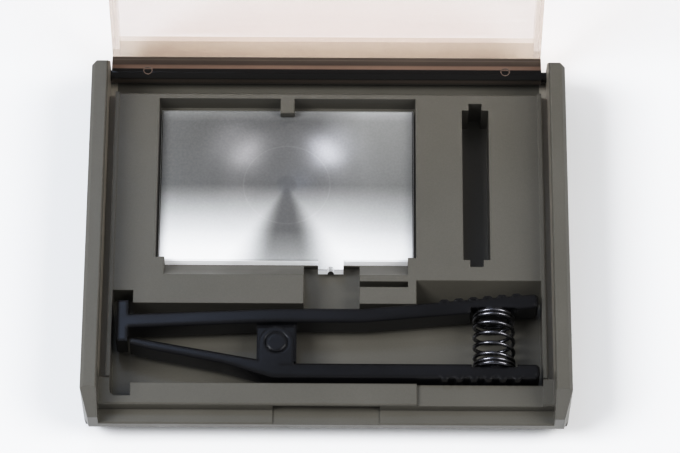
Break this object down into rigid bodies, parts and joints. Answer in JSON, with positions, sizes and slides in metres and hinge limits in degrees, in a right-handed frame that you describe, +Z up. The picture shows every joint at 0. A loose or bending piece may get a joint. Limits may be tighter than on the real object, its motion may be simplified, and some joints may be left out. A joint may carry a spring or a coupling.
{
  "type": "focusing screen case with lid and tweezers",
  "caption": "Shallow plastic case with a clear hinged lid, holding a camera focusing screen and sprung clevis-jointed tweezers.",
  "frame": {"origin": "centre of the case's base, on the surface it stands on", "axes": "+Z up, +Y from the front ledge to the lid's hinge, +X to the right seen from the front"},
  "size_m": [0.0688, 0.0723, 0.0594],
  "materials": {
    "tray": "satin moulded",
    "lid": "clear smoke brown, polished",
    "screen": "ground matt, clear edges",
    "tweezers": "glossy moulded",
    "spring": "oil-dark drawn wire"
  },
  "bodies": {
    "case": {"tray": "tray"},
    "lid": {"lid": "lid"},
    "screen": {"focusing_screen": "screen"},
    "pin": {"tweezers_pivot_pin": "tweezers"},
    "rear_arm": {"tweezers_rear_arm": "tweezers", "tweezers_spring": "spring"},
    "front_arm": {"tweezers_front_arm": "tweezers"}
  },
  "joints": [
    {"name": "lid_hinge", "type": "hinge", "parent": "case", "child": "lid", "pos_m": [0, 0.02735, 0.0046], "axis": [-1, 0, 0], "range_deg": [-100, 0]},
    {"name": "screen_tilt", "type": "hinge", "parent": "case", "child": "screen", "pos_m": [-0.00595, 0.02115, 0.004], "axis": [-1, 0, 0], "range_deg": [0, 9.5]},
    {"name": "tweezers_lift", "type": "slide", "parent": "case", "child": "pin", "axis": [0, 0, 1], "range_m": [0, 0.03]},
    {"name": "rear_arm_turn", "type": "hinge", "parent": "pin", "child": "rear_arm", "pos_m": [-0.0071, -0.01727, 0.0062], "axis": [0, 0, -1], "range_deg": [0, 3.5], "stiffness_Nm_per_rad": 0.02, "springref_deg": -14.32},
    {"name": "front_arm_turn", "type": "hinge", "parent": "pin", "child": "front_arm", "pos_m": [-0.0071, -0.01727, 0.0062], "axis": [0, 0, 1], "range_deg": [0, 3.5], "stiffness_Nm_per_rad": 0.02, "springref_deg": -14.32, "deforming": ["tweezers_spring"]}
  ]
}
